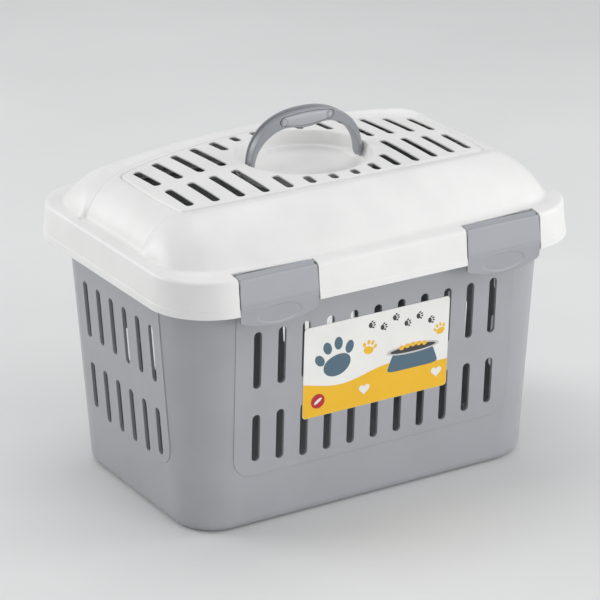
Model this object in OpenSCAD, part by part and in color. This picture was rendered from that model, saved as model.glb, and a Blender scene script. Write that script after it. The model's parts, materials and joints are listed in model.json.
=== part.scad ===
// Small-animal carrier: a slotted tub, a crowned lid hinged and clipped by four latches,
// and a bail handle that folds into a round recess in the lid.
// Millimetres. Origin at the middle of the tub's underside, +Z up, front face towards -Y.

/* [Tub] */
// Length of the tub over its foot
tub_len = 360.6; // [330:1:375]
// Width of the tub over its foot
tub_wid = 225.6; // [205:1:235]
// Height of the tub's flange above the ground
tub_h = 246; // [235:1:260]
// Draft of the tub's walls, degrees
tub_draft = 3.6; // [2.5:0.1:4]
// Corner radius of the tub at its foot
tub_corner_r = 40; // [30:1:50]
// Rounding between wall and underside
foot_r = 10; // [6:1:14]
// Thickness of the tub's walls
tub_wall = 2.4; // [1.8:0.1:3]
// Thickness of the tub's floor
tub_floor = 3; // [2.4:0.1:4]
// Height that the slotted wall panels stand proud
panel_proud = 0.5; // [0.3:0.1:0.8]

/* [Tub slots] */
// Width of a slot
slot_w = 8; // [6:0.5:9]
// Distance between slots
slot_pitch = 24.4; // [22:0.2:26]
// Columns of slots on each long wall
long_cols = 11; // [7:2:11]
// Columns of slots on each end wall
end_cols = 6; // [4:2:6]
// Height of the middle of the lower row
low_row_z = 84.4; // [80:1:90]
// Height of the middle of the upper row
top_row_z = 162.2; // [158:1:170]
// Length of a slot
slot_len = 51; // [40:1:56]

/* [Rim] */
// Room between the rim's ends and the lid's skirt
rim_end_gap = 1.6; // [1:0.1:3]
// Room between the rim's sides and the lid's skirt
rim_side_gap = 0.9; // [0.9:0.1:2]
// Corner radius of the rim
rim_r = 54; // [45:1:58]
// Thickness of the rim
rim_t = 2.2; // [1.8:0.1:2.4]
// Radius of the bead that the latches hook under
bead_r = 1.8; // [1.4:0.1:2]
// Height of the bead below the flange
bead_drop = 23.2; // [20:0.2:24]

/* [Lid] */
// Length over the lid's skirt
lid_len = 420; // [418:1:424]
// Width over the lid's skirt
lid_wid = 304.6; // [303:0.5:308]
// Corner radius of the skirt
lid_r = 59; // [52:1:64]
// Depth of the skirt
skirt_h = 33.7; // [31:0.5:36]
// Inward lean of the skirt over its depth
skirt_lean = 3; // [2:0.2:3.4]
// Wall thickness of the lid
lid_wall = 2.4; // [1.8:0.1:2.6]
// Gap at rest between lid and tub
seat_gap = 0.3; // [0.2:0.1:0.5]
// Height of the seating rib below the ledge
rib_h = 2.7; // [2.4:0.1:3.2]

/* [Crown] */
// Width of the ledge round the crown, at its ends
ledge_end = 14; // [13:0.5:17]
// Width of the ledge round the crown, at its sides
ledge_side = 17.3; // [16.8:0.1:20]
// Height of the middle of the slotted saddle above the ledge
saddle_rise = 43.4; // [40:0.5:48]
// Radius of the slotted saddle
saddle_r = 1220; // [1100:10:1500]
// Corner radius of the crown
crown_corner_r = 46; // [40:1:50]
// Distance from the crown's side to the crest of a hood
crest_in = 44; // [39:0.5:47]
// Height of the crest above the saddle's middle
crest_drop = 1.4; // [0.5:0.1:2.5]
// Slots along the crown
crown_cols = 14; // [10:2:14]
// Distance between the crown's slots
crown_pitch = 22.15; // [20:0.05:22.5]

/* [Dish] */
// Inner radius of the round recess
dish_r = 62.5; // [61.5:0.5:64]
// Depth of the recess below the saddle
dish_depth = 24.5; // [22:0.5:27]
// Radius of the deeper middle of the recess
dish_floor_r = 53.5; // [50:0.5:55]

/* [Handle] */
// Half width of the handle over its feet
handle_half = 57.5; // [56:0.5:58]
// Rise of the handle above its pivot
handle_rise = 48; // [45:1:55]
// Depth of the handle at its top
grip_depth = 13.2; // [11:0.2:13.2]
// Depth of the handle at its pivot
foot_depth = 9; // [7:0.5:10]
// Radius of a pivot pin
pivot_r = 3; // [2.5:0.1:3.4]
// Running clearance round a pin
fit_gap = 0.06; // [0.04:0.01:0.1]

/* [Latches] */
// Distance from the lid's end to a latch's middle
latch_in = 95; // [94:1:105]
// Width of a latch
latch_w = 77; // [70:0.5:78]
// Gap at each side of a latch
latch_gap = 0.75; // [0.5:0.05:1]
// Radius of a latch's barrel
barrel_r = 3.4; // [3:0.1:3.6]
// Radius of a latch's hinge pin
latch_pin_r = 1.8; // [1.5:0.1:2]
// Wall thickness of a latch
latch_t = 2.2; // [1.8:0.1:2.4]
// Clearance between hook and bead
hook_gap = 0.4; // [0.35:0.05:0.6]

/* [Card] */
// Width of the label card
card_w = 151; // [120:1:160]
// Height of the label card
card_h = 88; // [70:1:95]
// Height of the card's middle above the ground
card_z = 138; // [130:1:142]
// Thickness of the card
card_t = 0.5; // [0.3:0.1:0.8]

/* [Hidden] */
$fn = 96;
grey = [0.62, 0.64, 0.66];
white = [0.93, 0.93, 0.91];

// tub
slope = tan(tub_draft);
tub_cx = tub_len / 2 - tub_corner_r;
tub_cy = tub_wid / 2 - tub_corner_r;
rim_len = lid_len - 2 * (skirt_lean + lid_wall + rim_end_gap);
rim_wid = lid_wid - 2 * (skirt_lean + lid_wall + rim_side_gap);
rim_cx = rim_len / 2 - rim_r;
rim_cy = rim_wid / 2 - rim_r;
bead_z = tub_h - bead_drop;
bead_y = rim_wid / 2 - rim_t / 2;
panel_r = 20;
long_panel = (long_cols - 1) * slot_pitch + 44;
end_panel = (end_cols - 1) * slot_pitch + 34;
long_panel_z = low_row_z - slot_len / 2 - 8;
end_panel_z = low_row_z - slot_len / 2 - 2;

// lid
ledge_under = tub_h + seat_gap + rib_h;
ledge_top = ledge_under + lid_wall;
crown_z = ledge_top + 1.1;
skirt_z = crown_z - skirt_h;
lid_cx = lid_len / 2 - lid_r;
lid_cy = lid_wid / 2 - lid_r;
skirt_top_r = lid_r - skirt_lean;
saddle_z = crown_z + saddle_rise;
half_len = lid_len / 2 - ledge_end;
half_wid = lid_wid / 2 - ledge_side;
crest_y = half_wid - crest_in;
hip_x = half_len - 46;
end_inset = 2.5;

// dish and handle pivot
dish_floor_z = saddle_z - dish_depth;
dish_step_z = dish_floor_z + 10;
pivot_z = dish_step_z + grip_depth / 2 + 0.4;
socket_end = dish_r + 4.4;
pin_end = socket_end - 0.5;

// latch, seen from its end: u is the distance from the lid's middle plane
latch_x = lid_len / 2 - latch_in;
barrel_u = half_wid + 6.7;
barrel_z = crown_z - 2.6;
plate_top_u = lid_wid / 2 - skirt_lean - 0.4;
plate_low_u = lid_wid / 2 - 0.4;
plate_top_z = ledge_top - 0.3;
crease_z = skirt_z + 7.2;
tip_z = skirt_z - 15.4;
hook_z = bead_z - bead_r - hook_gap;

// ---------------------------------------------------------------- shared shapes

// Sweeps a section (x is the distance from the corner's centre, y is height)
// round a rectangle whose corner centres are at (cx, cy).
module sweep_round(cx, cy) {
    for (k = [0:3]) {
        sx = k == 0 || k == 3 ? 1 : -1;
        sy = k < 2 ? 1 : -1;
        translate([sx * cx, sy * cy, 0]) rotate([0, 0, 90 * k])
            rotate_extrude(angle = 90) children();
    }
    for (s = [0, 180]) rotate([0, 0, s]) {
        translate([cx, cy, 0]) rotate([90, 0, 0]) linear_extrude(2 * cy) children();
        rotate([0, 0, 90]) translate([cy, cx, 0]) rotate([90, 0, 0])
            linear_extrude(2 * cx) children();
    }
}

// Points of an arc round c, from angle a to angle b, in n steps
function arc(c, r, a, b, n) =
    [for (k = [0:n]) let (t = a + (b - a) * k / n) c + r * [cos(t), sin(t)]];

// A flat rectangle with round corners, centred
module round_rect(w, h, r) {
    square([w - 2 * r, h], center = true);
    square([w, h - 2 * r], center = true);
    for (x = [-1, 1], y = [-1, 1]) translate([x * (w / 2 - r), y * (h / 2 - r)]) circle(r);
}

// An upright slot with round ends, centred
module slot_shape(w, len) {
    square([w, len - w], center = true);
    for (s = [-1, 1]) translate([0, s * (len - w) / 2]) circle(w / 2);
}

// ---------------------------------------------------------------- tub

// Half section of a drafted box with a rounded foot. r0 is its radius at height 0,
// z0 its underside, f its foot rounding and top its height.
module drafted_section(r0, z0, f, top) {
    xc = r0 + slope * (z0 + f) - f / cos(tub_draft);
    polygon([[0, z0], [xc, z0],
             [xc + f * cos(tub_draft), z0 + f - f * sin(tub_draft)],
             [r0 + slope * top, top], [0, top]]);
    translate([xc, z0 + f]) circle(f);
}

module drafted_box(inset, z0, f, top) {
    sweep_round(tub_cx, tub_cy)
        drafted_section(tub_corner_r - inset / cos(tub_draft), z0, f, top);
    translate([-tub_cx, -tub_cy, z0]) cube([2 * tub_cx, 2 * tub_cy, top - z0]);
}

// Puts a shape drawn in (x, height) on a wall that faces -Y, leaning with the draft
module on_wall(dist) translate([0, -dist, 0]) rotate([90 + tub_draft, 0, 0]) children();

// The proud panel of a wall, round at its lower corners
module wall_panel(w, z0) {
    top = tub_h / cos(tub_draft) - rim_t;
    translate([0, 0, -tub_wall / 2]) linear_extrude(tub_wall / 2 + panel_proud) {
        translate([-w / 2, z0 + panel_r]) square([w, top - z0 - panel_r]);
        translate([-w / 2 + panel_r, z0]) square([w - 2 * panel_r, panel_r + 1]);
        for (s = [-1, 1]) translate([s * (w / 2 - panel_r), z0 + panel_r]) circle(panel_r);
    }
}

// How much a lower slot is shortened at its foot, where the panel's corner rounds off
function foot_lift(k, n) = let (e = min(k, n - 1 - k)) e == 0 ? 6 : e == 1 && n > 8 ? 3 : 0;

// Both rows of slots of one pair of walls, cut straight through both
module wall_slots(n, reach) {
    for (k = [0:n - 1]) {
        x = (k - (n - 1) / 2) * slot_pitch;
        lift = foot_lift(k, n);
        translate([x, 0, 0]) rotate([90, 0, 0]) linear_extrude(reach, center = true) {
            translate([0, top_row_z]) slot_shape(slot_w, slot_len + 3);
            translate([0, low_row_z + lift / 2]) slot_shape(slot_w, slot_len - lift);
        }
    }
}

// The flange and its hanging lip, with the beads that the latches hook under
module rim() {
    lip_z = bead_z + bead_r;
    sweep_round(rim_cx, rim_cy)
        polygon([[rim_r / 2, tub_h - rim_t], [rim_r - rim_t, tub_h - rim_t], [rim_r - rim_t, lip_z],
                 [rim_r, lip_z], [rim_r, tub_h - 0.8], [rim_r - 0.8, tub_h], [rim_r / 2, tub_h]]);
    for (s = [0, 180]) rotate([90, 0, s + 90]) linear_extrude(2 * rim_cx, center = true) {
        translate([bead_y - rim_t / 2, bead_z]) square([rim_t, bead_r + 1]);
        translate([bead_y, bead_z]) circle(bead_r);
    }
}

// Stiffening ribs in the channel between wall and lip
module rim_ribs() {
    rib_low = bead_z + 6;
    wall_y = tub_wid / 2 + slope * rib_low - tub_wall / 2;
    wall_x = tub_len / 2 + slope * rib_low - tub_wall / 2;
    for (s = [0, 180]) rotate([0, 0, s]) {
        for (x = [-60, -20, 20, 60]) translate([x - 0.8, wall_y, rib_low])
            cube([1.6, bead_y - wall_y, tub_h - rib_low - rim_t / 2]);
        for (y = [-60, 0, 60]) translate([wall_x, y - 0.8, rib_low])
            cube([rim_len / 2 - rim_t / 2 - wall_x, 1.6, tub_h - rib_low - rim_t / 2]);
    }
}

module bin() {
    color(grey) difference() {
        union() {
            drafted_box(0, 0, foot_r, tub_h - rim_t / 2);
            for (s = [0, 180]) rotate([0, 0, s]) {
                on_wall(tub_wid / 2) wall_panel(long_panel, long_panel_z);
                rotate([0, 0, 90]) on_wall(tub_len / 2) wall_panel(end_panel, end_panel_z);
            }
            rim();
            rim_ribs();
        }
        drafted_box(tub_wall, tub_floor, foot_r - tub_wall, tub_h + 1);
        wall_slots(long_cols, tub_wid + 40);
        rotate([0, 0, 90]) wall_slots(end_cols, tub_len + 40);
    }
}

module label_card() {
    color([0.97, 0.93, 0.80]) on_wall(tub_wid / 2)
        translate([0, card_z / cos(tub_draft), panel_proud])
            linear_extrude(card_t) round_rect(card_w, card_h, 3.5);
}

// ---------------------------------------------------------------- lid

// Moves the points of a falling curve inwards, at right angles to it
function inward(p, t) = [for (i = [0:len(p) - 1])
    let (d = p[min(i + 1, len(p) - 1)] - p[max(i - 1, 0)])
    p[i] + t * [d.y, -d.x] / norm(d)];

// Squareness of the hips and of the crown's ends: 1 is a circle's arc
hip_pow = 1.25;
function hip_s(a) = pow(sin(a), hip_pow);
function hip_c(a) = pow(cos(a), hip_pow);

// The crown's end in (x, z), from its brow down to the ledge
end_x = half_len - end_inset;
end_rise = saddle_rise - 5.4;
function end_curve() = [for (a = [0:5:90])
    [hip_x + (end_x - hip_x) * hip_s(a), crown_z - 1 + end_rise * hip_c(a)]];

module end_profile(t, low) {
    c = inward(end_curve(), t);
    m = [for (i = [len(c) - 1:-1:0]) [-c[i].x, c[i].y]];
    polygon(concat([[0, saddle_z + 5], [c[0].x, saddle_z + 5]], c, [[c[len(c) - 1].x, low],
                   [m[0].x, low]], m, [[m[len(m) - 1].x, saddle_z + 5]]));
}

// Crest of a hood: along the front, then down the hip
crest_bow = 7.8e-4;
crest_end_y = crest_y - 35.5;
function crest_front(x) = [x, crest_y - crest_bow * x * x, saddle_z - crest_drop - 2.44e-4 * x * x];
function crest_hip(a) = let (y0 = crest_front(hip_x).y, z0 = crest_front(hip_x).z)
    [hip_x + (half_len - 0.3 - hip_x) * hip_s(a),
     crest_end_y + (y0 - crest_end_y) * (1 - pow(hip_s(a), 2)),
     crown_z + (z0 - crown_z) * hip_c(a)];

// Foot of a hood on the ledge: along the front, round the corner, along the end
base_bow = 2.6e-4;
corner_y = half_wid - base_bow * hip_x * hip_x - crown_corner_r;
function base_front(x) = [x, half_wid - base_bow * x * x, crown_z];
function base_hip(a) = let (arc = 65)
    a < arc ? [hip_x + crown_corner_r * sin(a / arc * 90),
               corner_y + crown_corner_r * cos(a / arc * 90), crown_z]
            : [half_len, corner_y - (a - arc) / (90 - arc) * (corner_y - crest_end_y), crown_z];

// Inner foot of a hood, where it rises out of the saddle
function saddle_at(x, y) = saddle_z - (x * x + y * y) / (2 * saddle_r);
function riser_front(x) = let (y = crest_y - 6.5 - 6.5e-4 * x * x) [x, y, saddle_at(x, y) - 0.5];
function riser_hip(a) =
    let (y0 = riser_front(hip_x).y, y1 = crest_end_y - 3.5,
         x = hip_x + (end_x - 0.5 - hip_x) * hip_s(a), y = y1 + (y0 - y1) * pow(1 - hip_s(a), 2.4))
    [x, y, min(saddle_at(x, y), crown_z - 1 + end_rise * hip_c(a)) - 0.5];

// A hood falls from crest to foot along a Bezier curve given as shares of run and drop
fall_a = [0.60, 0.15];
fall_b = [0.95, 0.95];
fall_n = 8;
function fall(s) = 3 * (1 - s) * (1 - s) * s * fall_a + 3 * (1 - s) * s * s * fall_b + s * s * s * [1, 1];

// One section of a hood: crest, fall and foot in its own plane, moved inwards by t
function hood_section(f, c, b, t, low) =
    let (run = max(norm([b.x - c.x, b.y - c.y]), 0.01),
         dir = [b.x - c.x, b.y - c.y] / run,
         flat = [for (k = [0:fall_n]) let (q = fall(k / fall_n)) [q.x * run, c.z - q.y * (c.z - b.z)]],
         line = t == 0 ? flat : inward(concat([[-3, c.z - 1]], flat), t),
         pts = t == 0 ? line : [for (k = [1:len(line) - 1]) line[k]],
         e = pts[len(pts) - 1])
    concat([[f.x, f.y, low], [f.x, f.y, f.z - t]],
           [for (q = pts) [c.x + dir.x * q.x, c.y + dir.y * q.x, q.y]],
           [[c.x + dir.x * e.x, c.y + dir.y * e.x, low]]);

function flip(p) = [for (q = p) [-q.x, q.y, q.z]];

// A hood, skinned over its sections from the right hip to the left one
module hood(t, low, last) {
    hips = [for (a = [last:-10:10]) hood_section(riser_hip(a), crest_hip(a), base_hip(a), t, low)];
    mids = [for (k = [0:8]) let (x = hip_x * (1 - k / 8))
        hood_section(riser_front(x), crest_front(x), base_front(x), t, low)];
    right = concat(hips, mids);
    n = len(right);
    all = concat(right, [for (k = [n - 2:-1:0]) flip(right[k])]);
    m = len(all[0]);
    count = len(all);
    points = [for (s = all) for (q = s) q];
    sides = [for (i = [0:count - 2]) for (k = [0:m - 1])
        let (a = i * m + k, b = i * m + (k + 1) % m)
        each [[a, b + m, b], [a, a + m, b + m]]];
    caps = [for (k = [1:m - 2]) let (z = (count - 1) * m)
        each [[0, k, k + 1], [z, z + k + 1, z + k]]];
    polyhedron(points, concat(sides, caps), convexity = 6);
}

// The slotted saddle: a shallow ball, cut to the crown's ends and to the hoods' risers
module saddle(t, low) {
    edge = concat([for (x = [0:15:hip_x]) [x, riser_front(x).y + 1.5]],
                  [for (a = [10:10:90]) [riser_hip(a).x, riser_hip(a).y + 1.5]],
                  [[half_len, riser_hip(90).y + 1.5]]);
    half = concat([for (i = [len(edge) - 1:-1:1]) [-edge[i].x, edge[i].y]], edge);
    intersection() {
        rotate_extrude($fn = 180) intersection() {
            translate([0, saddle_z - saddle_r]) circle(saddle_r - t, $fn = 1440);
            translate([0, low]) square([half_len + 40, 100]);
        }
        rotate([90, 0, 0]) linear_extrude(2 * half_wid, center = true) end_profile(t, low - 1);
        translate([0, 0, low - 1]) linear_extrude(110)
            polygon(concat(half, [for (i = [len(half) - 1:-1:0]) [half[i].x, -half[i].y]]));
    }
}

// Skirt and ledge in one section, with a rounded shoulder and a fine step near the edge
module skirt_section() {
    h = ledge_top - skirt_z;
    lean = atan(skirt_lean / h);
    step = 0.4;
    round = 3;
    xc = skirt_top_r + tan(lean) * round - round / cos(lean);
    zc = ledge_top - round;
    inner = min(half_wid - 9.7 - lid_cy, half_len - 13 - lid_cx);
    low_x = lid_r - tan(lean) * 6.2;
    polygon(concat(
        [[inner, ledge_under], [skirt_top_r - lid_wall, ledge_under], [lid_r - lid_wall, skirt_z],
         [lid_r, skirt_z], [low_x, skirt_z + 6.2], [low_x - step, skirt_z + 6.2]],
        arc([xc - step / 2, zc], round, lean, 90, 4),
        [[half_wid + 2 - lid_cy, crown_z], [inner, crown_z]]));
}

// The rib under the ledge that seats on the tub's flange
module seat_rib() {
    z = tub_h + seat_gap;
    sweep_round(half_len + 4 - crown_corner_r, half_wid - 1.6 - crown_corner_r)
        translate([crown_corner_r - lid_wall, z]) square([lid_wall, ledge_under + 0.5 - z]);
}

// Half of the round recess: floor, ledge for the handle's feet, wall and rolled rim
module dish_section() {
    step_in = dish_r - 6.5;
    step_out = dish_r - 2.2;
    roll = lid_wall / 2 + 0.4;
    rim_z = saddle_z - dish_r * dish_r / (2 * saddle_r) - 1;
    ring = dish_floor_r - 11.5;
    polygon([[0, dish_floor_z], [ring, dish_floor_z], [ring + 0.4, dish_floor_z - 0.4],
             [dish_floor_r, dish_floor_z - 0.4], [step_in, dish_step_z], [step_out, dish_step_z],
             [dish_r, rim_z], [dish_r + lid_wall, rim_z],
             [step_out + lid_wall, dish_step_z - lid_wall],
             [step_in + lid_wall - 0.6, dish_step_z - lid_wall],
             [dish_floor_r + 1.2, dish_floor_z - 0.4 - lid_wall],
             [0, dish_floor_z - 0.4 - lid_wall]]);
    translate([dish_r + lid_wall / 2, rim_z]) circle(roll);
}

// One slot of the saddle. Its inner end keeps clear of the recess, along an ellipse.
module saddle_slot(x) {
    reach = min(abs(x) / (dish_r + 11.8), 1);
    y0 = max(7, (dish_r + 7.3) * sqrt(1 - reach * reach) - slot_w / 2);
    y1 = crest_y - 17.5 - 9.9e-4 * x * x;
    translate([x, (y0 + y1) / 2, saddle_z - 30]) linear_extrude(40)
        slot_shape(slot_w, max(y1 - y0, slot_w + 0.4));
}

// Where a latch sits: its middle, turned to face the front or the back
module at_latches() {
    for (s = [0, 180], x = [-1, 1]) rotate([0, 0, s]) translate([x * latch_x, 0, 0]) children();
}

// The lid's side of a latch hinge: a knuckle at each end of the notch
module knuckles() {
    z = tub_h + seat_gap + 0.1;
    for (s = [-1, 1]) translate([s * (latch_w / 2 + latch_gap + 2.1) - 2.1, -barrel_u - 4.2, z])
        cube([4.2, 8.4, ledge_top - 0.5 - z]);
}

module lid() {
    low = ledge_under + 0.6;
    color(white) difference() {
        union() {
            difference() {
                union() {
                    saddle(0, low);
                    hood(0, low, 90);
                    mirror([0, 1, 0]) hood(0, low, 90);
                    sweep_round(lid_cx, lid_cy) skirt_section();
                    seat_rib();
                }
                saddle(lid_wall, ledge_under - 4);
                hood(lid_wall, ledge_under - 4, 80);
                mirror([0, 1, 0]) hood(lid_wall, ledge_under - 4, 80);
                cylinder(r = dish_r + lid_wall / 2, h = 400);
                for (s = [0, 180], k = [0:crown_cols - 1]) rotate([0, 0, s])
                    saddle_slot((k - (crown_cols - 1) / 2) * crown_pitch);
            }
            rotate_extrude() dish_section();
            for (s = [-1, 1]) translate([s * (dish_r + 2), 0, pivot_z]) rotate([0, 90, 0])
                cylinder(r = pivot_r + 2.2, h = 6.4, center = true);
            at_latches() knuckles();
        }
        at_latches() {
            translate([-latch_w / 2 - latch_gap, -lid_wid, skirt_z - 1])
                cube([latch_w + 2 * latch_gap, lid_wid - half_wid - 0.3, 60]);
            translate([0, -barrel_u, barrel_z]) rotate([0, 90, 0])
                cylinder(r = latch_pin_r + fit_gap, h = latch_w + 2 * latch_gap + 6.4, center = true);
        }
        for (s = [-1, 1]) translate([s * (socket_end - 5), 0, pivot_z]) rotate([0, 90, 0])
            cylinder(r = pivot_r + fit_gap, h = 10, center = true);
    }
}

// ---------------------------------------------------------------- handle

arch_a = handle_half + 0.5;
arch_r1 = handle_rise + 22;
arch_r2 = (arch_r1 * arch_r1 - arch_a * arch_a - 22 * 22) / (2 * (arch_r1 - arch_a));
leg_in = handle_half - 3.5;
grip_low = handle_rise - 14;
grip_sag = 3;
sag_r = 132;
face_lean = atan((grip_depth - foot_depth) / 2 / handle_rise);
stud_x = 23.4;
stud_z = handle_rise - 9;
stud_r = 3.4;

// Outline of the arch's outside, three arcs that meet smoothly, moved inwards by t
module arch_outside(t) {
    big = [0, handle_rise - arch_r1];
    side = arch_a - arch_r2;
    for (s = [-1, 1]) translate([s * side, 0]) circle(arch_r2 - t);
    intersection() {
        translate(big) circle(arch_r1 - t);
        polygon([big, big + 5 * [side, -big.y], big + 5 * [-side, -big.y]]);
    }
}

// The opening for the fingers, with a grip that swells down in its middle
module arch_inside() {
    r = leg_in / 2;
    difference() {
        union() {
            for (s = [-1, 1]) translate([s * r, grip_low - r]) circle(r);
            translate([-r, 0]) square([2 * r, grip_low]);
            translate([-leg_in, -40]) square([2 * leg_in, 40 + grip_low - r]);
        }
        translate([0, grip_low - grip_sag + sag_r]) circle(sag_r, $fn = 360);
    }
}

// Puts a shape drawn in (x, height above the pivot) on the arch's face towards -Y
module on_grip() translate([0, -foot_depth / 2, pivot_z]) rotate([90 + face_lean, 0, 0]) children();

// Outline of the grip pad, made smaller all round by t
module pad_shape(t) {
    intersection() {
        translate([0, handle_rise - arch_r1]) circle(arch_r1 - 2.4 - t);
        translate([0, grip_low - grip_sag + sag_r]) circle(sag_r - 1.8 - t, $fn = 360);
        translate([-stud_x, 0]) square([2 * stud_x, 2 * handle_rise]);
    }
    for (s = [-1, 1]) translate([s * stud_x, stud_z]) circle(stud_r + 0.8 - t);
}

pad_sink = 1.2;
pad_out = 0.6;

module grip_recess() on_grip() translate([0, 0, -pad_sink]) linear_extrude(4) pad_shape(0);

module handle() {
    color(grey) difference() {
        union() {
            intersection() {
                translate([0, 0, pivot_z]) rotate([90, 0, 0])
                    linear_extrude(2 * grip_depth, center = true) difference() {
                        arch_outside(0);
                        arch_inside();
                        translate([-100, -100]) square([200, 100]);
                    }
                translate([0, 0, pivot_z]) rotate([90, 0, 90])
                    linear_extrude(4 * handle_half, center = true)
                        polygon([[-foot_depth / 2, 0], [foot_depth / 2, 0],
                                 [grip_depth / 2, handle_rise - 2], [grip_depth / 2 - 2, handle_rise + 1],
                                 [2 - grip_depth / 2, handle_rise + 1], [-grip_depth / 2, handle_rise - 2]]);
            }
            for (s = [-1, 1]) translate([s * (handle_half - 3.5), 0, pivot_z]) rotate([0, 90, 0])
                cylinder(r = grip_depth / 2 - 0.4, h = 7, center = true);
            translate([0, 0, pivot_z]) rotate([0, 90, 0]) difference() {
                union() {
                    cylinder(r = pivot_r, h = 2 * pin_end, center = true);
                    cylinder(r = pivot_r + 1.4, h = 2 * (dish_r - 2.6), center = true);
                }
                cylinder(r = 20, h = 2 * handle_half - 6, center = true);
            }
        }
        translate([0, 0, pivot_z]) rotate([90, 0, 0]) linear_extrude(5.2, center = true)
            difference() {
                arch_outside(-2);
                arch_outside(0.8);
                translate([-100, -100]) square([200, 106]);
            }
        for (s = [0, 180]) rotate([0, 0, s]) grip_recess();
    }
}

module grip_pad() {
    color([0.66, 0.68, 0.71]) on_grip() translate([0, 0, -pad_sink])
        linear_extrude(pad_sink + pad_out) difference() {
            pad_shape(0.1);
            for (s = [-1, 1]) translate([s * stud_x, stud_z]) circle(stud_r + 0.1);
        }
}

module grip_stud(s) {
    color([0.56, 0.58, 0.61]) on_grip() translate([s * stud_x, stud_z, -pad_sink])
        cylinder(r = stud_r, h = pad_sink + pad_out + 0.3);
}

module front_grip_pad() grip_pad();
module front_stud_left() grip_stud(-1);
module front_stud_right() grip_stud(1);
module back_grip_pad() rotate([0, 0, 180]) grip_pad();
module back_stud_left() rotate([0, 0, 180]) grip_stud(1);
module back_stud_right() rotate([0, 0, 180]) grip_stud(-1);

// ---------------------------------------------------------------- latches

tail_lean = 7.2;
tail_u = plate_low_u - tan(tail_lean) * (crease_z - tip_z);

// End view of a latch in (u, z): barrel, web and front plate
module latch_section() {
    translate([barrel_u, barrel_z]) circle(barrel_r);
    translate([barrel_u, barrel_z - 3]) square([plate_top_u - 1.2 - barrel_u, latch_t]);
    polygon([[plate_top_u, plate_top_z - 1.1], [plate_low_u, crease_z], [tail_u, tip_z],
             [tail_u - latch_t, tip_z], [plate_low_u - latch_t, crease_z],
             [plate_top_u - latch_t, plate_top_z - 1.1]]);
    translate([plate_top_u - latch_t / 2, plate_top_z - 1.1]) circle(latch_t / 2);
}

// Extrudes a section drawn in (u, z) along X, with u pointing to -Y
module along_x(w) rotate([90, 0, -90]) linear_extrude(w, center = true) children();

// The rounded lower edge of a latch
module latch_outline() {
    dip = 7.6;
    r = (latch_w * latch_w / 4 + dip * dip) / (2 * dip);
    translate([0, 0, tip_z + r]) rotate([90, 0, 0]) cylinder(r = r, h = 400, center = true, $fn = 240);
}

// The shallow thumb rest, a pointed oval
module thumb_rest() {
    half = 22;
    rise = 6.6;
    r = (half * half + rise * rise) / (2 * rise);
    translate([0, -plate_low_u, crease_z]) rotate([90 + tail_lean, 0, 0])
        translate([0, -13, -0.8]) linear_extrude(4) intersection_for (s = [-1, 1])
            translate([0, s * (r - rise)]) circle(r);
}

module latch() {
    color(grey) difference() {
        intersection() {
            union() {
                along_x(latch_w) latch_section();
                along_x(latch_w - 12) translate([bead_y - 0.5, hook_z - 2])
                    square([plate_low_u - latch_t / 2 - bead_y + 0.5, 2]);
                translate([0, -barrel_u, barrel_z]) rotate([0, 90, 0])
                    cylinder(r = latch_pin_r, h = latch_w + 2 * latch_gap + 5.2, center = true);
            }
            union() {
                latch_outline();
                translate([-latch_w, -lid_wid, barrel_z - 20]) cube([2 * latch_w, lid_wid, 40]);
            }
        }
        thumb_rest();
    }
}

module front_latch_left() translate([-latch_x, 0, 0]) latch();
module front_latch_right() translate([latch_x, 0, 0]) latch();
module rear_latch_left() rotate([0, 0, 180]) translate([latch_x, 0, 0]) latch();
module rear_latch_right() rotate([0, 0, 180]) translate([-latch_x, 0, 0]) latch();

bin();
label_card();
lid();
handle();
front_grip_pad();
front_stud_left();
front_stud_right();
back_grip_pad();
back_stud_left();
back_stud_right();
front_latch_left();
front_latch_right();
rear_latch_left();
rear_latch_right();
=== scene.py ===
"""Looks of the pet keeper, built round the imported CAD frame. Metres, front face towards -Y."""
import json
import math

import bmesh
import bpy
import numpy as np
from mathutils import Matrix


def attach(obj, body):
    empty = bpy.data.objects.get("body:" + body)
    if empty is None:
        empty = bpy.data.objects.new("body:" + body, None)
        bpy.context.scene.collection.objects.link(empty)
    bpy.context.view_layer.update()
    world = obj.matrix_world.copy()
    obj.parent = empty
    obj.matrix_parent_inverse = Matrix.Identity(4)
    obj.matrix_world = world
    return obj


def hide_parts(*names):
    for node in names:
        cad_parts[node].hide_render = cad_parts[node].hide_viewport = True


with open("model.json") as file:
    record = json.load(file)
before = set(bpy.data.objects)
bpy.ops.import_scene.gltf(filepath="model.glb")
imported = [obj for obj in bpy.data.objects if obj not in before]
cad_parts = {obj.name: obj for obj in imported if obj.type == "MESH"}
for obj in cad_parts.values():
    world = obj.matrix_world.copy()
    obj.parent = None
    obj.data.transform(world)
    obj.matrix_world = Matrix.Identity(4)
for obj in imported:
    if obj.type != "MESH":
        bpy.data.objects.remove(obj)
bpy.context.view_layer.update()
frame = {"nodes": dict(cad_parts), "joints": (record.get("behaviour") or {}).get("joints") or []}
MM = 0.001


# ------------------------------------------------------------------ camera

SENSOR_MM, FRAME_PX = 36, 600


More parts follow.
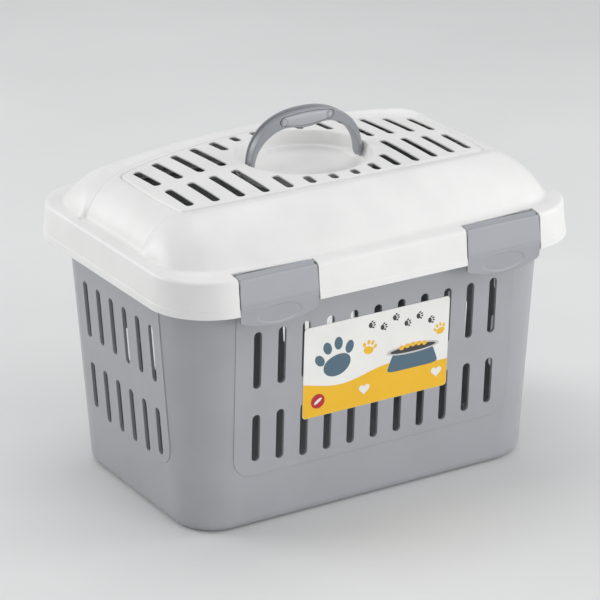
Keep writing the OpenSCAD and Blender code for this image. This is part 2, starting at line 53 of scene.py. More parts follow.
def place_camera(az, el, roll, dist, shift_x, shift_y, aim_z, focal_px):
    """Pinhole camera that looks at (0, 0, aim_z) from az, el; shift_x and shift_y slide it sideways.
    back = (sin az cos el, -cos az cos el, sin el) points from the aim to the eye, dist away."""
    az, el, roll = (math.radians(a) for a in (az, el, roll))
    back = np.array([math.sin(az) * math.cos(el), -math.cos(az) * math.cos(el), math.sin(el)])
    right = np.cross(-back, [0, 0, 1])
    right /= np.linalg.norm(right)
    up = np.cross(right, -back)
    x = math.cos(roll) * right + math.sin(roll) * up
    y = -math.sin(roll) * right + math.cos(roll) * up
    eye = np.array([0, 0, aim_z]) - shift_x * x - shift_y * y + dist * back
    data = bpy.data.cameras.new("camera")
    data.sensor_width = SENSOR_MM
    data.lens = SENSOR_MM * focal_px / FRAME_PX
    data.clip_end = 50
    camera = bpy.data.objects.new("camera", data)
    bpy.context.scene.collection.objects.link(camera)
    turn = Matrix([list(r) for r in np.column_stack([x, y, back])]).to_4x4()
    camera.matrix_world = Matrix.Translation(eye) @ turn
    bpy.context.scene.camera = camera


place_camera(az=-30.948, el=21.554, roll=-0.404, dist=2.8055, shift_x=0.004325, shift_y=-0.001354,
             aim_z=0.150, focal_px=3072.9)
bpy.context.scene.view_settings.view_transform = "Standard"


# ------------------------------------------------------------------ materials

class Nodes:
    """Small builder for a material's node tree."""

    def __init__(self, name):
        self.mat = bpy.data.materials.new(name)
        self.mat.use_nodes = True
        self.tree = self.mat.node_tree
        self.shader = self.tree.nodes["Principled BSDF"]
        self.place = self.add("ShaderNodeTexCoord").outputs["Object"]

    def add(self, kind, links=(), **values):
        """New node; each value is one of its settings or, with _ for a space, one of its sockets."""
        node = self.tree.nodes.new(kind)
        for key, value in values.items():
            if hasattr(node, key):
                setattr(node, key, value)
            else:
                node.inputs[key.replace("_", " ")].default_value = value
        for socket, source in dict(links).items():
            self.tree.links.new(source, node.inputs[socket])
        return node

    def link(self, source, socket):
        """Feeds a socket of the surface shader."""
        self.tree.links.new(source, self.shader.inputs[socket])

    def noise(self, size, detail=2.0, roughness=0.5):
        """Noise whose features are about size millimetres across."""
        return self.add("ShaderNodeTexNoise", {"Vector": self.place}, Scale=1000.0 / size, Detail=detail,
                        Roughness=roughness).outputs["Fac"]

    def ramp(self, source, stops):
        """Colour ramp through stops (place, colour)."""
        node = self.add("ShaderNodeValToRGB", {"Fac": source})
        for i, (at, colour) in enumerate(stops):
            e = node.color_ramp.elements[i] if i < 2 else node.color_ramp.elements.new(at)
            e.position = at
            e.color = (*colour, 1)
        return node.outputs["Color"]

    def span(self, source, low, high):
        """Values 0 to 1 made low to high."""
        return self.add("ShaderNodeMapRange", {"Value": source}, To_Min=low, To_Max=high).outputs["Result"]


def plastic(name, colour, rough, spread=0.03, grain=0.5, bump=0.12, soft_edge=0.5, shine=0.5):
    """Moulded plastic: faint mottling, fine eroded grain, softly rounded edges."""
    n = Nodes(name)
    base = np.array(colour)
    n.link(n.ramp(n.noise(38, 3), [(0.3, base * (1 - spread)), (0.7, base * (1 + spread))]), "Base Color")
    n.link(n.span(n.noise(9, 3), rough - 0.06, rough + 0.06), "Roughness")
    edge = n.add("ShaderNodeBevel", samples=4, Radius=soft_edge * MM)
    fine = n.add("ShaderNodeBump", {"Height": n.noise(grain, 2), "Normal": edge.outputs["Normal"]},
                 Strength=bump, Distance=0.05 * MM)
    n.link(fine.outputs["Normal"], "Normal")
    n.shader.inputs["IOR"].default_value = 1.49
    n.shader.inputs["Specular IOR Level"].default_value = shine
    return n.mat


white = plastic("lid_white_plastic", (0.82, 0.815, 0.80), 0.42)
grey = plastic("tub_grey_plastic", (0.365, 0.37, 0.395), 0.38, shine=0.8)
latch_grey = plastic("latch_grey_plastic", (0.35, 0.36, 0.385), 0.38, soft_edge=1.1, shine=0.7)
handle_grey = plastic("handle_grey_plastic", (0.29, 0.30, 0.325), 0.30)
pad_grey = plastic("grip_pad_plastic", (0.40, 0.41, 0.435), 0.34)
card_white = plastic("card_stock", (0.86, 0.85, 0.82), 0.35)

# the finish of a CAD node goes by the word that its name holds
FINISH = {"bin": grey, "lid": white, "card": card_white, "handle": handle_grey, "stud": handle_grey,
          "latch": latch_grey, "pad": pad_grey}
for name, node in frame["nodes"].items():
    node.data.materials.clear()
    node.data.materials.append(next(mat for word, mat in FINISH.items() if word in name))


# ------------------------------------------------------------------ mesh helpers, all in millimetres

def mesh_object(name, points, faces, smooth=True):
    """Object from points in millimetres and faces given as corner numbers."""
    mesh = bpy.data.meshes.new(name)
    faces = faces.tolist() if isinstance(faces, np.ndarray) else faces
    mesh.from_pydata((np.asarray(points, float) * MM).tolist(), [], faces)
    mesh.polygons.foreach_set("use_smooth", np.full(len(mesh.polygons), smooth))
    mesh.update()
    obj = bpy.data.objects.new(name, mesh)
    bpy.context.scene.collection.objects.link(obj)
    return obj


def grid_faces(nu, nv, wrap_u=False, wrap_v=False):
    """Quads of a grid of nu by nv points numbered u * nv + v; they face along du x dv."""
    columns = np.arange(nu if wrap_u else nu - 1)
    rows = np.arange(nv if wrap_v else nv - 1)
    a, b = np.meshgrid(columns, rows, indexing="ij")
    a2, b2 = (a + 1) % nu, (b + 1) % nv
    return np.stack([a * nv + b, a2 * nv + b, a2 * nv + b2, a * nv + b2], -1).reshape(-1, 4)


def weld(obj, reach=0.002):
    """Merges points closer than reach millimetres, which closes seams and poles."""
    work = bmesh.new()
    work.from_mesh(obj.data)
    bmesh.ops.remove_doubles(work, verts=work.verts, dist=reach * MM)
    work.to_mesh(obj.data)
    work.free()
    return obj


def finish_piece(obj, body, mat, wall=0.0, edge=0.0, nodes=()):
    """Gives a piece its wall, softened edges, material and body, and hides the CAD nodes that it stands for.
    """
    if wall:
        m = obj.modifiers.new("wall", "SOLIDIFY")
        m.thickness = wall * MM
        m.offset = -1
    if edge:
        m = obj.modifiers.new("edge", "BEVEL")
        m.width = edge * MM
        m.segments = 2
        m.limit_method = "ANGLE"
        m.angle_limit = math.radians(48)
        m = obj.modifiers.new("normals", "WEIGHTED_NORMAL")
        m.keep_sharp = True
    obj.data.materials.append(mat)
    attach(obj, body)
    if nodes:
        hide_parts(*nodes)
    return obj


def relax(p, weight, turns, axis=1):
    """Softens a grid of points along one axis: turns passes of (1, 2, 1) / 4, scaled by weight."""
    p = np.moveaxis(p, axis, 0).copy()
    w = np.moveaxis(np.broadcast_to(weight, np.moveaxis(p, 0, axis).shape[:2]), axis, 0)[1:-1, :, None]
    for _ in range(turns):
        p[1:-1] += w * (0.25 * (p[:-2] + p[2:]) - 0.5 * p[1:-1])
    return np.moveaxis(p, 0, axis)


def swept_ring(section, cx, cy, corner=20, marks=(), first=None):
    """Grid p[u, v] of section points (rho, z) swept round a rectangle with corner centres (cx, cy): base +
    rho * way, where way points out of a side and turns by (cos t, sin t) round a corner, in corner steps.
    marks are extra |x| on the long sides, first the angle of the columns next to a long side."""
    t = np.linspace(0, np.pi / 2, corner + 1)
    if first:
        t[1], t[-2] = first, np.pi / 2 - first
    marks = np.asarray(marks, float)
    xs = np.unique(np.concatenate([np.linspace(-cx, cx, 31)[1:-1], marks, -marks]))
    ys = np.linspace(-cy, cy, 17)[1:-1]
    sides = [np.column_stack([xs[::-1], np.full(len(xs), cy)]),
             np.column_stack([np.full(len(ys), -cx), ys[::-1]]),
             np.column_stack([xs, np.full(len(xs), -cy)]),
             np.column_stack([np.full(len(ys), cx), ys])]
    base, way = [], []
    for k, (sx, sy) in enumerate([(1, 1), (-1, 1), (-1, -1), (1, -1)]):
        base.append(np.tile([sx * cx, sy * cy], (corner + 1, 1)))
        way.append(np.column_stack([np.cos(t + k * np.pi / 2), np.sin(t + k * np.pi / 2)]))
        base.append(sides[k])
        way.append(np.tile(way[-1][-1], (len(sides[k]), 1)))
    base, way = np.concatenate(base), np.concatenate(way)
    rho, z = np.asarray(section, float).T
    xy = base[:, None] + rho[None, :, None] * way[:, None]
    return np.concatenate([xy, np.broadcast_to(z[None, :, None], xy.shape[:2] + (1,))], -1)


def lathe(profile, turns=128, axis="z"):
    """Turns profile points (r, h) round an axis: (r cos a, r sin a, h) for z, (h, r cos a, r sin a) for x.
    Quads of its grid look to the right of the profile's run."""
    a = np.linspace(0, 2 * np.pi, turns, endpoint=False)[:, None]
    r, h = np.asarray(profile, float).T
    u, v, w = r * np.cos(a), r * np.sin(a), np.broadcast_to(h, (turns, len(h)))
    return np.stack({"z": [u, v, w], "x": [w, u, v]}[axis], -1)


def boxes(centres, size):
    """Points and outward quads of boxes of one size at several centres."""
    corner = np.stack(np.meshgrid([-0.5, 0.5], [-0.5, 0.5], [-0.5, 0.5], indexing="ij"), -1).reshape(-1, 3)
    faces = np.array([[0, 1, 3, 2], [4, 6, 7, 5], [0, 4, 5, 1], [2, 3, 7, 6], [0, 2, 6, 4], [1, 5, 7, 3]])
    points = np.asarray(centres, float)[:, None] + corner * size
    return points.reshape(-1, 3), (faces + 8 * np.arange(len(centres))[:, None, None]).reshape(-1, 4)


def arc_points(cx, cy, r, a0, a1, n):
    """Points (cx + r cos a, cy + r sin a) for a from a0 to a1 degrees, in n steps."""
    a = np.radians(np.linspace(a0, a1, n + 1))
    return np.column_stack([cx + r * np.cos(a), cy + r * np.sin(a)])


def resample(line, step):
    """The same line with points about step apart."""
    line = np.asarray(line, float)
    s = np.concatenate([[0], np.cumsum(np.linalg.norm(np.diff(line, axis=0), axis=1))])
    t = np.linspace(0, s[-1], max(2, int(round(s[-1] / step)) + 1))
    return np.column_stack([np.interp(t, s, line[:, i]) for i in range(line.shape[1])])


def bowed(line, t):
    """A line (value, bow) that bows inwards away from its middle: value - bow t^2."""
    value, bow = line
    return value - bow * t ** 2


# ------------------------------------------------------------------ places that pieces share

def joint_place(name):
    """The middle of a joint's axis in the frame, in millimetres."""
    return next(np.round(np.array(j["pos_m"]) / MM, 3) for j in frame["joints"] if j["name"] == name)


PIVOT_Z = joint_place("bail_pivot")[2]
LATCH_X, LATCH_Y, LATCH_Z = joint_place("rear_latch_right_pivot")


# ------------------------------------------------------------------ lid

SADDLE_Z, SADDLE_R, SADDLE_BLEND = 295.9, 1220.0, 5.0  # the saddle's top, radius and blend into the ends
CROWN_Z = 252.5                                        # the ledge that the crown stands on
HIP_X, END_X = 150.0, 193.5                            # where the end slopes start and stop
CORNER_R, END_Y = 46.0, 55.5                           # the crown's outline round its corners
SINK = 0.12                                            # the crown's edge lies this far below the ledge
SIDE_Y, CREST_Y, RISER_Y = (135.0, 2.6e-4), (91, 7.8e-4), (84.5, 6.5e-4)  # bowed lines of a hood
CREST_Z = (SADDLE_Z - 1.4, 2.44e-4)
RISER_HIP, RISER_END = 69.9, 52                        # |y| of the riser's foot along the end slope
FALL = np.array([[0.60, 0.15], [0.95, 0.95]])          # middle control points of a hood's falling side
PANEL_X, PANEL_Y, PANEL_CORNER = (160.5, 1.15e-3), (79.0, 9e-4), 5
GROOVE_DEEP, GROOVE_WIDE = 2.6, 1.2
GROOVE_COLUMNS = [150.6, 152, 153.6, 155.1, 156.5, 157.7, 158.6, 159.3, 159.8, 160.2, 160.5, 160.8, 161.2,
                  161.8, 162.7, 164]
DISH_HOLE_R = 61.8
SLOTS, PITCH, SLOT_R, SLOT_LEAST = 14, 22.15, 4, 8.4
SLOT_OVAL_A, SLOT_OVAL_B, SLOT_IN, SLOT_SKEW, SLOT_NEAREST = 74.3, 67.6, 3.7, 0.6, 7.0
SLOT_END, SLOT_END_BOW = 75.2, 1.15e-3


def saddle_height(x, y):
    """Ball of radius SADDLE_R, bent down to the ledge beyond HIP_X: the soft minimum of the ball and of
    z = CROWN_Z - 1 + 38 cos(a)^1.25, where |x| = HIP_X + 43.5 sin(a)^1.25."""
    ball = SADDLE_Z - (x ** 2 + y ** 2) / (2 * SADDLE_R)
    s = np.clip((np.abs(x) - HIP_X) / (END_X - HIP_X), 0, 1) ** 0.8
    end = np.where(np.abs(x) > HIP_X, CROWN_Z - 1 + 38 * (1 - s * s) ** 0.625, 400.0)
    h = np.clip(0.5 + (end - ball) / SADDLE_BLEND, 0, 1)
    return np.where(h >= 1, ball, end * (1 - h) + ball * h - SADDLE_BLEND / 2 * h * (1 - h))


def panel_groove(x, y):
    """Depth of the fine groove round the slotted panel, |x| < 160.5 - 1.15e-3 y^2, |y| < 79 - 9e-4 x^2,
    with its corners rounded to 5 mm: 2.6 exp(-(d / 1.2)^2), d being the distance from that outline."""
    p = bowed(PANEL_X, y) - np.abs(x)
    q = bowed(PANEL_Y, x) - np.abs(y)
    in_corner = (p < PANEL_CORNER) & (q < PANEL_CORNER)
    rounded = PANEL_CORNER - np.hypot(PANEL_CORNER - p, PANEL_CORNER - q)
    d = np.where(in_corner, rounded, np.minimum(p, q))
    return GROOVE_DEEP * np.exp(-(d / GROOVE_WIDE) ** 2)


def slot_field(x, y):
    """Signed distance in plan to the nearest slot or to the dish's hole, negative inside them.

    Slot k lies at xc, in front of and behind the middle. It is 8 mm wide with round ends and runs from y0 to
    y1 = 75.2 - 1.15e-3 xc^2. y0 follows the dish, 67.6 sqrt(1 - (xc / 74.3)^2) - 3.7, which is 0.6 less in
    front and 0.6 more behind, and never under 7. No slot is shorter than 8.4 mm."""
    d = np.hypot(x, y) - DISH_HOLE_R
    for k in range(SLOTS):
        xc = (k - (SLOTS - 1) / 2) * PITCH
        oval_y = SLOT_OVAL_B * math.sqrt(1 - min(abs(xc) / SLOT_OVAL_A, 1) ** 2)
        y0 = np.maximum(SLOT_NEAREST, oval_y - SLOT_IN + SLOT_SKEW * np.sign(y))
        y1 = SLOT_END - SLOT_END_BOW * xc * xc
        half = np.maximum(y1 - y0, SLOT_LEAST) / 2 - SLOT_R
        along = np.maximum(np.abs(np.abs(y) - (y0 + y1) / 2) - half, 0)
        d = np.minimum(d, np.hypot(x - xc, along) - SLOT_R)
    return d


def crown_columns():
    """x of the columns in the crown's right half: a sixteenth of PITCH apart, finer across the groove, then
    HIP_X + 43.5 sin(a)^1.25 down the end slope, and four on the ledge beyond END_X."""
    even = np.arange(109) * PITCH / 16
    slope = HIP_X + (END_X - HIP_X) * np.sin(np.radians(np.linspace(30, 86.6, 24))) ** 1.25
    ledge = END_X + np.array([0.5, 1.4, 2.5, 3.8])
    return np.concatenate([even, GROOVE_COLUMNS, slope, ledge])


def hood_lines(x):
    """The riser's foot f, the crest c and the outer edge b of a hood, each a point per column.

    Before HIP_X they are bowed lines. Beyond it, s = (x - HIP_X) / 43.5 and s = sin(a)^1.25:
    f_y = 52 + 17.9 (1 - s)^2.4, c = (150 + 45.7 s, 73.45 - 10.7 s - 7.25 s^3, CROWN_Z + 36.5 cos(a)^1.25),
    and b goes round a corner of radius CORNER_R up to a = 65 degrees, then along the end to |y| = END_Y.
    Past END_X all three are level with the ledge. Each line is softened along its run."""
    hip, on_ledge = x > HIP_X, x > END_X
    s = np.clip((x - HIP_X) / (END_X - HIP_X), 0, 1)
    a = np.degrees(np.arcsin(np.clip(s ** 0.8, 0, 1)))
    height = np.sqrt(1 - s ** 1.6) ** 1.25
    f_y = np.where(hip, RISER_END + (RISER_HIP - RISER_END) * (1 - s) ** 2.4, bowed(RISER_Y, x))
    f = np.stack([x, f_y, saddle_height(x, f_y)], -1)
    c_x = np.where(hip, HIP_X + 45.7 * s, x)
    c_y = np.where(hip, 73.45 - 10.7 * s - 7.25 * s ** 3, bowed(CREST_Y, x))
    c_z = np.where(hip, CROWN_Z + 36.5 * height, bowed(CREST_Z, x))
    c = np.stack([c_x, c_y, c_z], -1)
    corner_y = bowed(SIDE_Y, HIP_X) - CORNER_R
    turn = np.radians(np.minimum(a / 65, 1) * 90)
    past = np.clip((a - 65) / 25, 0, 1)
    b_x = np.where(hip, HIP_X + CORNER_R * np.sin(turn), x)
    b_y = np.where(hip, corner_y + CORNER_R * np.cos(turn) - past * (corner_y - END_Y), bowed(SIDE_Y, x))
    b = np.stack([b_x, b_y, np.full_like(x, CROWN_Z)], -1)
    lines = []
    for line, ahead in ((f, 0), (c, 2.2), (b, 2.2)):
        line[on_ledge, 0] = x[on_ledge] + ahead
        line[on_ledge, 2] = CROWN_Z
        both = np.concatenate([line[::-1] * [-1, 1, 1], line[1:]])
        lines.append(relax(both[:, None], 1.0, 14, axis=0)[len(line) - 1:, 0])
    return lines


def hood_rows(f, c, b):
    """Rows of a hood from f outwards: the riser f to c in a straight line, the falling side c to b, a Bezier
    curve in shares of run and drop with the control points FALL, and a foot 5.5 mm wide on the ledge."""
    t = np.linspace(0, 1, 34)[None, :, None]
    curve = 3 * (1 - t) ** 2 * t * FALL[0] + 3 * (1 - t) * t ** 2 * FALL[1] + t ** 3
    share = np.stack([curve[..., 0], curve[..., 0], curve[..., 1]], -1)
    fall = c[:, None] + (b - c)[:, None] * share
    out = b - c
    out[:, 2] = 0
    out /= np.maximum(np.linalg.norm(out, axis=1), 1e-6)[:, None]
    reach = np.array([1, 2, 3, 4.2, 5.5])[None, :, None]
    foot = b[:, None] + reach * out[:, None] - [0, 0, SINK]
    rise = f[:, None] + (c - f)[:, None] * np.linspace(0, 1, 8)[None, :-1, None]
    return np.concatenate([rise, fall, foot], 1)


def saddle_rows(x, f):
    """Rows of the saddle from the middle to the riser's foot f: even up to the groove, close across it and
    two more to f. The columns near the panel's end follow its bow."""
    groove_y = bowed(PANEL_Y, np.minimum(x, 158))
    groove_y = np.where(x > HIP_X, np.minimum(groove_y, f[:, 1] - 2.2), groove_y)
    even = np.linspace(0, 1, 54)[None] * (groove_y[:, None] - 1.8)
    close = groove_y[:, None] + np.array([-0.9, -0.5, -0.2, 0.1, 0.45, 0.9])
    last = (groove_y + 0.9)[:, None] + (f[:, 1] - groove_y - 0.9)[:, None] * np.array([0.35, 0.7])
    y = np.concatenate([even, close, last], 1)
    bend = PANEL_X[1] * y ** 2 * np.interp(x, [HIP_X, PANEL_X[0], 185], [0, 1, 0])[:, None]
    bent_x = x[:, None] - bend
    rows = np.stack([bent_x, y, saddle_height(bent_x, y)], -1)
    rows[x > END_X, :, 2] = CROWN_Z - SINK
    return rows


def crown_grid():
    """Points p[u, v] of the crown's outer skin, from the left ledge to the right and from the front ledge to
    the back, with the range of v that the slotted panel takes. One quarter is worked out, softened where the
    riser meets the saddle and where the hood meets the ledge, and mirrored twice."""
    x = crown_columns()
    f, c, b = hood_lines(x)
    saddle = saddle_rows(x, f)
    quarter = np.concatenate([saddle, hood_rows(f, c, b)], 1)
    n, rows = saddle.shape[1], quarter.shape[1]
    row = np.arange(rows)
    quarter = relax(quarter, np.where((row >= n - 4) & (row < rows - 1), 1.0, 0.0), 4)
    valley = np.exp(-((row - n) / 4.0) ** 2) + np.exp(-((row - rows + 6) / 4.0) ** 2)
    quarter = relax(quarter, np.minimum(valley, 1), 14)
    right = np.concatenate([quarter[:, :0:-1] * [1, -1, 1], quarter], 1)
    p = np.concatenate([right[::-1] * [-1, 1, 1], right[1:]])
    ends = np.clip((np.abs(p[:, p.shape[1] // 2, 0]) - 180) / 6, 0, 1)
    p = relax(p, ends[:, None], 10, axis=0)
    low = p.shape[1] // 2 - n + 1
    return p, low, low + 2 * n - 2


def slotted(p):
    """Panel mesh from its grid: drops the quads over a slot or the dish, moves the quads' torn edges onto
    the outlines (p -= d grad d) and presses the groove in."""
    quads = grid_faces(*p.shape[:2])
    p = p.reshape(-1, 3).copy()
    middle = p[quads].mean(1)
    keep = slot_field(middle[:, 0], middle[:, 1]) > 0
    kept, lost = np.zeros(len(p), bool), np.zeros(len(p), bool)
    kept[quads[keep]] = True
    lost[quads[~keep]] = True
    edge = kept & lost
    x, y = p[edge, 0].copy(), p[edge, 1].copy()
    for _ in range(3):
        d = slot_field(x, y)
        gx = (slot_field(x + 0.01, y) - d) / 0.01
        gy = (slot_field(x, y + 0.01) - d) / 0.01
        g = np.maximum(gx * gx + gy * gy, 0.2)
        x, y = x - d * gx / g, y - d * gy / g
    lift = p[edge, 2] - saddle_height(p[edge, 0], p[edge, 1])
    p[edge] = np.stack([x, y, saddle_height(x, y) + lift], -1)
    p[:, 2] -= panel_groove(p[:, 0], p[:, 1])
    return p[kept], (np.cumsum(kept) - 1)[quads[keep]]


def lid_piece(obj, wall=0.0, edge=0.0):
    """One piece of the white lid."""
    return finish_piece(obj, "cover", white, wall, edge, ["lid"])


skin, panel_from, panel_to = crown_grid()
lid_piece(mesh_object("lid_panel", *slotted(skin[:, panel_from:panel_to + 1])), wall=1.4, edge=0.4)
for name, part in (("lid_hood_front", skin[:, :panel_from + 1]), ("lid_hood_back", skin[:, panel_to:])):
    lid_piece(mesh_object(name, part.reshape(-1, 3), grid_faces(*part.shape[:2])), wall=2.2)

# ledge, rounded shoulder and skirt with its fine step, as (distance out of the corner centres, height)
BRIM = np.concatenate([[[30, 252.5], [38, 252.5], [42, 252.5], [44.5, 252.42], [49, 251.9]],
                       arc_points(52.06, 247.4, 4.0, 88, 5.3, 8),
                       [[57.0, 236.0], [57.93, 225.6], [58.05, 225.1], [58.4, 224.8], [58.5, 224.2],
                        [59.0, 218.8]]])
BRIM_CORNER = (151, 93.3)
NOTCH, NOTCH_Y = (75.75, 154.25), 135.3  # |x| of the sides of a latch's notch and |y| of its inner edge


def brim_mesh():
    """Points and faces of BRIM swept round the lid, with a notch for each latch: the columns next to a
    notch's outer side are slid onto it, and the quads inside a notch are dropped."""
    ring = swept_ring(BRIM, *BRIM_CORNER, 24, NOTCH[:1], math.radians(3.3))
    beside = (np.abs(ring[..., 1]) > SIDE_Y[0]) & (np.abs(np.abs(ring[..., 0]) - NOTCH[1]) < 0.9)
    ring[..., 0] = np.where(beside, np.sign(ring[..., 0]) * NOTCH[1], ring[..., 0])
    quads = grid_faces(*ring.shape[:2], wrap_u=True)
    points = ring.reshape(-1, 3)
    middle = np.abs(points[quads].mean(1))
    notch = (middle[:, 0] > NOTCH[0]) & (middle[:, 0] < NOTCH[1]) & (middle[:, 1] > NOTCH_Y)
    return points, quads[~notch][:, ::-1]


def dish_profile():
    """(r, z) from the rim inwards: a rolled rim, a leaning wall, a narrow ledge, a bowl (35 + 22.3 cos t,
    281 - 9.4 sin t) and a floor with a step. All but the rim is softened."""
    t = np.radians(np.linspace(0, 90, 24))
    rim = np.concatenate([[[63.2, 292.2]], arc_points(62.2, 293.0, 0.9, -10, 180, 10)])
    inside = np.concatenate([resample([[61.3, 292.8], [60.3, 281.9]], 0.9), [[59.6, 281.2], [57.6, 281.2]],
                             np.column_stack([35 + 22.3 * np.cos(t), 281 - 9.4 * np.sin(t)]),
                             resample([[34, 271.6], [30.4, 271.6], [29.4, 272.9], [0, 272.9]], 0.8)])
    line = np.concatenate([rim, inside])
    line = relax(line[None], np.r_[np.zeros(len(rim)), np.ones(len(inside))], 3)[0]
    line[-1, 0] = 0
    return line


def axis_pair(profile, order, turns=48):
    """Points and faces of a closed profile turned about the handle's axis, and of its mirror image at the
    left end. order is -1 where the profile runs the other way round and its faces have to be turned."""
    right = lathe(profile, turns, "x") + [0, 0, PIVOT_Z]
    quads = grid_faces(turns, len(profile), True, True)
    points = np.stack([right, right * [-1, 1, 1]]).reshape(-1, 3)
    return points, np.concatenate([quads[:, ::order], quads[:, ::-order] + turns * len(profile)])


lid_piece(weld(mesh_object("lid_brim", *brim_mesh())), wall=2.4, edge=0.5)
dish = lathe(dish_profile())
dish = weld(mesh_object("lid_dish", dish.reshape(-1, 3), grid_faces(*dish.shape[:2], wrap_u=True)))
lid_piece(dish, wall=1.6)

# seating rib under the ledge, a round boss at each end of the handle's axis, and the latches' knuckles
RIB = [[43.6, 246.3], [46, 246.3], [46, 250.0], [43.6, 250.0]]
RIB_CORNER = (154, 87.4)
BOSS = [[3.1, 67.6], [3.1, 61.3], [4.6, 61.3], [5.2, 61.9], [5.2, 67.6]]
KNUCKLE_X, KNUCKLE_Z, KNUCKLE_SIZE = 41.35, 248.65, (4.2, 8.4, 4.5)  # x from the latch's middle
rib = swept_ring(RIB, *RIB_CORNER, 16)
rib = mesh_object("lid_seat_rib", rib.reshape(-1, 3), grid_faces(len(rib), len(RIB), True, True))
lid_piece(rib, edge=0.4)
lid_piece(mesh_object("lid_handle_bosses", *axis_pair(BOSS, 1)))
blocks = [[x * LATCH_X + s * KNUCKLE_X, y * LATCH_Y, KNUCKLE_Z]
          for x in (-1, 1) for s in (-1, 1) for y in (-1, 1)]
lid_piece(mesh_object("lid_knuckles", *boxes(blocks, KNUCKLE_SIZE)), edge=0.6)


# ------------------------------------------------------------------ handle

SPAN, RISE, SQUARE = 58.0, 48.0, 2.25   # the arch's half width, height and exponent
FOOT_R, EDGE_R = 6.2, 1.3               # half the section's width at the foot, rounding of its edges
ARCH_COLUMNS, FOOT_COLUMNS = 361, 15
CHANNEL = np.array([[2.6, 0], [2.6, 0.28], [2.6, 0.54], [2.2, 0.6], [0.6, 0.65], [0, 0.69], [0, 0.76]])
STUD_X, STUD_H, RECESS_R, RECESS_DEEP = 23.5, 39.4, 4.5, 1.2
PAD_TOP, PAD_LOW, PAD_GAP, PAD_FLOOR = (45.3, 2.8e-3), (32.9, 5.5e-3), 0.35, 5.5


def pad_depth(x, h):
    """Distance inside the grip pad's recess, (x, h) being measured from the pivot: between the parabolas
    h = 45.3 - 2.8e-3 x^2 and h = 32.9 + 5.5e-3 x^2, with a round end of RECESS_R about each stud."""
    band = np.minimum(bowed(PAD_TOP, x) - h, h - PAD_LOW[0] - PAD_LOW[1] * x ** 2)
    ends = RECESS_R - np.hypot(np.abs(x) - STUD_X, h - STUD_H)
    return np.maximum(np.minimum(band, STUD_X - np.abs(x)), ends)


def arch_line(t):
    """Outer line of the arch |x / 58|^2.25 + |h / 48|^2.25 = 1 at the angles t from its top, as x, h and the
    outward normal: x = 58 sin(t)^0.889, h = 48 cos(t)^0.889."""
    sin, cos = np.abs(np.sin(t)), np.clip(np.cos(t), 0, 1)
    x, h = SPAN * sin ** (2 / SQUARE), RISE * cos ** (2 / SQUARE)
    nx, nh = (x / SPAN) ** (SQUARE - 1) / SPAN, (h / RISE) ** (SQUARE - 1) / RISE
    size = np.hypot(nx, nh)
    return np.sign(t) * x, h, np.sign(t) * nx / size, nh / size


def section_loop(half, thick):
    """Closed sections as depth under the outer line and distance from the middle plane: CHANNEL along the
    outside, in (depth, share of the half width), then a rounded edge, a flat face and a rounded edge."""
    soft = np.radians(np.linspace(0, 90, 6))[:, None]
    run = np.linspace(0, 1, 32)[1:-1, None]
    r = np.minimum(EDGE_R, half * 0.6)
    channel = np.stack([CHANNEL[:, :1] * np.clip(half - 5.6, 0, 1) ** 2, half * CHANNEL[:, 1:]])
    near_out = np.stack([r * (1 - np.cos(soft)), half - r * (1 - np.sin(soft))])
    face = np.stack([r + (thick - 2 * r) * run, np.broadcast_to(half, (len(run), len(half)))])
    near_in = np.stack([thick - r * (1 - np.sin(soft)), half - r * (1 - np.cos(soft))])
    flank = np.concatenate([channel, near_out, face, near_in], 1)
    loop = np.concatenate([flank, flank[:, ::-1] * np.array([1, -1])[:, None, None]], 1)
    return loop[0].T, loop[1].T


def handle_grid():
    """Closed sections p[u, v] along arch_line, 3.6 + 8.5 cos(t)^1.2 + 5 exp(-(t / 16.6 deg)^2) thick. The
    feet end in half circles about the pivot, and both faces have the pads' recesses."""
    foot = np.radians(np.linspace(90, 6, FOOT_COLUMNS))
    arch = np.radians(np.linspace(-90, 90, ARCH_COLUMNS))
    t = np.concatenate([np.full(FOOT_COLUMNS, -np.pi / 2), arch, np.full(FOOT_COLUMNS, np.pi / 2)])
    drop = np.concatenate([FOOT_R * np.sin(foot), np.zeros(ARCH_COLUMNS), FOOT_R * np.sin(foot[::-1])])
    half = FOOT_R + 0.4 * np.cos(t)
    half[:FOOT_COLUMNS] = FOOT_R * np.cos(foot)
    half[-FOOT_COLUMNS:] = FOOT_R * np.cos(foot[::-1])
    ox, oh, nx, nh = arch_line(t)
    cos = np.clip(np.cos(t), 0, 1)
    thick = 3.6 + 8.5 * cos ** 1.2 + 5 * np.exp(-(np.degrees(t) / 16.6) ** 2)
    depth, y = section_loop(half, thick)
    x, h = ox[:, None] - depth * nx[:, None], (oh - drop)[:, None] - depth * nh[:, None]
    sunk = RECESS_DEEP * np.clip(pad_depth(x, h) / 0.5 + 0.5, 0, 1)
    y = y - np.where(np.abs(y) > half[:, None] - 0.02, np.sign(y) * sunk, 0)
    return np.stack([x, y, PIVOT_Z + h], -1)


def on_face(side, u, v, out):
    """Points at (u, v) from the pivot and out from the handle's middle plane; side 1 is the front face, -1
    the back."""
    return np.stack([side * u, -side * out, PIVOT_Z + v], -1)


